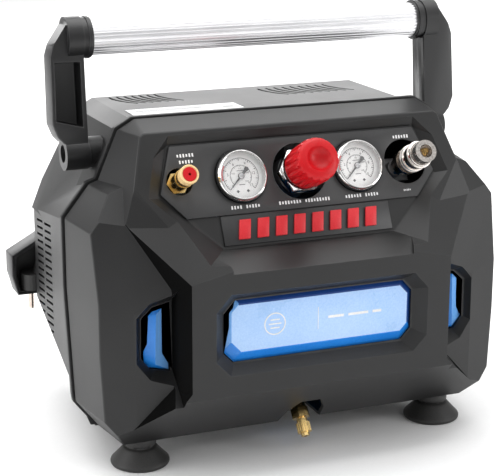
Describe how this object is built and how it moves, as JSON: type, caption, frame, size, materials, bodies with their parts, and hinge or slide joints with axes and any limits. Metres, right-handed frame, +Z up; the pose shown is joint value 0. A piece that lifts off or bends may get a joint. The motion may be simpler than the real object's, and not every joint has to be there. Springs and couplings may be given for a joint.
{
  "type": "portable air compressor",
  "caption": "Compact oil-free air compressor: faceted casing round a tank, sloping gauge panel, regulator, outlet coupler and folding carrying handle.",
  "frame": {"origin": "centre of the bounding box in plan, on the floor under the feet", "axes": "+X to the right seen from the front, the instrument panel faces -Y, +Z up"},
  "size_m": [0.388, 0.283, 0.3616],
  "materials": {
    "casing": "satin moulded",
    "panel": "fine texture",
    "black_plastic": "satin",
    "bars": "satin",
    "white": "matt",
    "blue": "gloss paint",
    "blue_plate": "satin",
    "brass": "turned",
    "rubber": "matt",
    "steel": "plain",
    "alu": "drawn, fluted",
    "chrome": "polished",
    "cream": "satin",
    "red": "satin",
    "glass": "clear",
    "cast": "cast",
    "copper": "drawn tube"
  },
  "bodies": {
    "casing": {"front_casing": "casing", "rear_casing": "casing", "instrument_panel": "panel", "name_plate": "black_plastic", "name_bars": "bars", "legend_strips": "white", "type_label": "white", "window_plate": "blue_plate", "side_inlays": "blue_plate", "tank": "blue", "tank_saddles": "rubber", "drain_body": "brass", "tank_fittings": "brass", "rubber_feet": "rubber", "foot_screws": "steel", "pivot_bolts": "steel", "gauge_case_left": "black_plastic", "gauge_case_right": "black_plastic", "gauge_bezel_left": "chrome", "gauge_bezel_right": "chrome", "gauge_dial_left": "white", "gauge_dial_right": "white", "gauge_lenses": "glass", "regulator_body": "cast", "regulator_nut": "chrome", "coupler_body": "chrome", "valve_body": "brass", "manifold": "cast", "motor_stator": "steel", "motor_brackets": "black_plastic", "crankcase": "cast", "cylinder_barrel": "cast", "cylinder_head": "cast", "intake_filter": "black_plastic", "delivery_tube": "copper", "pressure_switch": "black_plastic", "switch_frame": "black_plastic", "cord_hooks": "black_plastic", "plug_body": "rubber", "plug_pins": "steel", "cord_gland": "rubber", "power_cord": "rubber", "cord_winding": "rubber", "casing_screws": "steel"},
    "handle": {"grip_tube": "alu", "grip_caps": "black_plastic", "arm_left": "black_plastic", "arm_right": "black_plastic"},
    "knob": {"regulator_knob": "red"},
    "left_needle": {"needle_left": "black_plastic"},
    "right_needle": {"needle_right": "black_plastic"},
    "sleeve": {"coupler_sleeve": "chrome"},
    "valve_cap": {"valve_ring": "cream", "valve_button": "red"},
    "drain": {"drain_cap": "brass"},
    "rocker": {"switch_rocker": "red"},
    "motor_shaft": {"motor_rotor": "steel", "fan": "black_plastic", "crank": "steel"},
    "piston_rod": {"piston": "cast"}
  },
  "joints": [
    {"name": "handle_fold", "type": "hinge", "parent": "casing", "child": "handle", "pos_m": [0, -0.0005, 0.25], "axis": [-1, 0, 0], "range_deg": [0, 56]},
    {"name": "knob_turn", "type": "hinge", "parent": "casing", "child": "knob", "pos_m": [0, -0.0875, 0.24], "axis": [0, -0.8988, 0.4384], "range_deg": [-360, 360]},
    {"name": "left_needle_turn", "type": "hinge", "parent": "casing", "child": "left_needle", "pos_m": [-0.0518, -0.0875, 0.24], "axis": [0, 0.8988, -0.4384], "range_deg": [0, 270]},
    {"name": "right_needle_turn", "type": "hinge", "parent": "casing", "child": "right_needle", "pos_m": [0.0518, -0.0875, 0.24], "axis": [0, 0.8988, -0.4384], "range_deg": [0, 270]},
    {"name": "sleeve_pull", "type": "slide", "parent": "casing", "child": "sleeve", "axis": [0, 0.8988, -0.4384], "range_m": [0, 0.004], "stiffness_N_per_m": 500, "springref_m": -0.006},
    {"name": "valve_pull", "type": "slide", "parent": "casing", "child": "valve_cap", "axis": [0, -0.8988, 0.4384], "range_m": [0, 0.003], "stiffness_N_per_m": 800, "springref_m": -0.006},
    {"name": "drain_turn", "type": "hinge", "parent": "casing", "child": "drain", "pos_m": [0, -0.09976, 0.02347], "axis": [0, -0.6157, -0.788], "range_deg": [-180, 180]},
    {"name": "rocker_press", "type": "hinge", "parent": "casing", "child": "rocker", "pos_m": [0.104, 0.1065, 0.18], "axis": [1, 0, 0], "range_deg": [-12, 0]},
    {"name": "motor_spin", "type": "hinge", "parent": "casing", "child": "motor_shaft", "pos_m": [0, 0.0155, 0.232], "axis": [1, 0, 0], "continuous": true},
    {"name": "piston_stroke", "type": "slide", "parent": "casing", "child": "piston_rod", "axis": [0, 1, 0], "range_m": [0, 0.016]}
  ]
}
